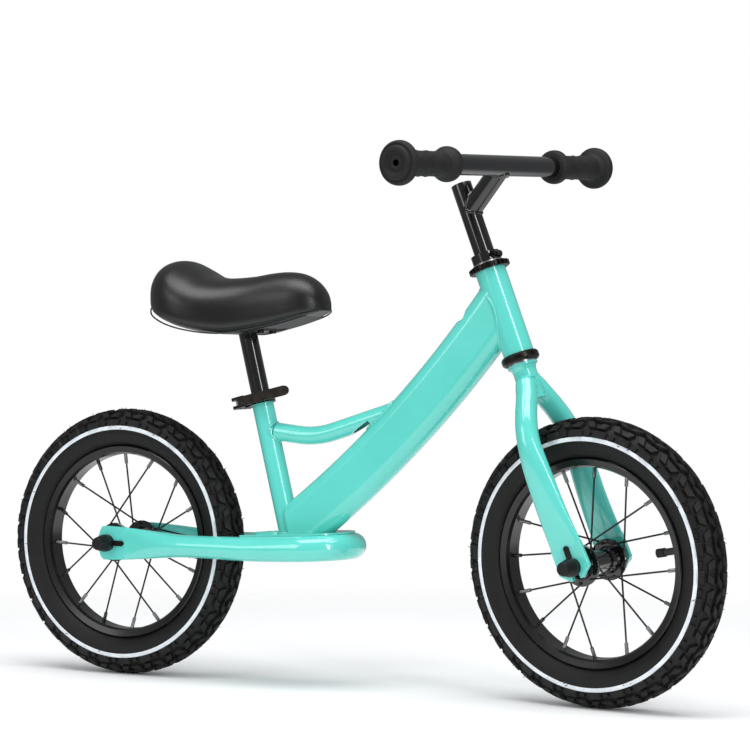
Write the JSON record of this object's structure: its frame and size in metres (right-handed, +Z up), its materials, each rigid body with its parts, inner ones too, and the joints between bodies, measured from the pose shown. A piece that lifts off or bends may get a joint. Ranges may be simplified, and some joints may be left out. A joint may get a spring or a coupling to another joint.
{
  "type": "balance bike",
  "caption": "Child's balance bike with a mint steel frame, spoked pneumatic wheels, padded saddle and straight handlebar.",
  "frame": {"origin": "on the floor in the frame's middle plane, half way between the axles with the wheels straight", "axes": "+X forward, +Y to the rider's left, +Z up; the handlebar, fork and front wheel rest turned 8.5 degrees to the right"},
  "size_m": [0.8876, 0.3917, 0.6016],
  "materials": {
    "mint_paint": "gloss paint",
    "black_paint": "gloss paint",
    "black_plastic": "satin moulded plastic",
    "plated_steel": "zinc plated",
    "black_spokes": "black oxide",
    "rim_black": "gloss black",
    "tyre_rubber": "matte moulded rubber",
    "tube_rubber": "matte rubber",
    "grip_rubber": "matte soft rubber",
    "saddle_cover": "semi-gloss leatherette"
  },
  "bodies": {
    "frame": {"head_tube": "mint_paint", "main_tube": "mint_paint", "seat_tube": "mint_paint", "frame_brace": "mint_paint", "rear_loop": "mint_paint", "footrest_plate": "mint_paint", "headset_upper_cup": "black_paint", "headset_lower_cup": "black_plastic", "headset_balls": "plated_steel", "seat_clamp_band": "black_paint", "seat_clamp_bolt": "plated_steel", "seat_clamp_nut": "black_plastic", "rear_axle": "plated_steel", "rear_cones": "plated_steel", "rear_tab_washers": "black_paint", "rear_axle_nuts": "plated_steel", "rear_axle_caps": "black_plastic"},
    "clamp_lever": {"seat_clamp_lever": "black_paint"},
    "fork": {"fork_steerer": "mint_paint", "fork_leg_right": "mint_paint", "fork_leg_left": "mint_paint", "crown_race": "plated_steel", "upper_race": "plated_steel", "steerer_collar": "black_paint", "steerer_collar_bolt": "plated_steel", "front_axle": "plated_steel", "front_cones": "plated_steel", "front_tab_washers": "black_paint", "front_axle_nuts": "plated_steel", "front_axle_caps": "black_plastic"},
    "handlebar_stem": {"stem_quill": "black_paint", "stem_riser": "black_paint", "handlebar": "black_paint", "grip_right": "grip_rubber", "grip_left": "grip_rubber"},
    "saddle_and_post": {"seat_post": "black_paint", "saddle_bracket": "black_paint", "saddle_base": "black_plastic", "saddle_bolts": "plated_steel", "saddle_pad": "saddle_cover"},
    "rear_wheel": {"rear_tyre": "tyre_rubber", "rear_inner_tube": "tube_rubber", "rear_rim": "rim_black", "rear_rim_tape": "tube_rubber", "rear_spokes": "black_spokes", "rear_nipples": "plated_steel", "rear_hub": "rim_black", "rear_hub_balls": "plated_steel", "rear_valve_cap": "black_plastic"},
    "front_wheel": {"front_tyre": "tyre_rubber", "front_inner_tube": "tube_rubber", "front_rim": "rim_black", "front_rim_tape": "tube_rubber", "front_spokes": "black_spokes", "front_nipples": "plated_steel", "front_hub": "rim_black", "front_hub_balls": "plated_steel", "front_valve_cap": "black_plastic"}
  },
  "joints": [
    {"name": "steering", "type": "hinge", "parent": "frame", "child": "fork", "pos_m": [0.18524, 0, 0.41358], "axis": [-0.3584, 0, 0.9336], "continuous": true},
    {"name": "front_wheel_spin", "type": "hinge", "parent": "fork", "child": "front_wheel", "pos_m": [0.29184, -0.00089, 0.15243], "axis": [0.138, 0.989, 0.053], "continuous": true},
    {"name": "rear_wheel_spin", "type": "hinge", "parent": "frame", "child": "rear_wheel", "pos_m": [-0.292, 0, 0.1525], "axis": [0, 1, 0], "continuous": true},
    {"name": "handlebar_height", "type": "slide", "parent": "fork", "child": "handlebar_stem", "axis": [-0.3584, 0, 0.9336], "range_m": [-0.03, 0.04]},
    {"name": "seat_height", "type": "slide", "parent": "frame", "child": "saddle_and_post", "axis": [-0.247, 0, 0.969], "range_m": [-0.035, 0.06]},
    {"name": "seat_clamp_lever_swing", "type": "hinge", "parent": "frame", "child": "clamp_lever", "pos_m": [-0.13612, -0.014, 0.31313], "axis": [-0.247, 0, 0.969], "range_deg": [-150, 0]}
  ]
}
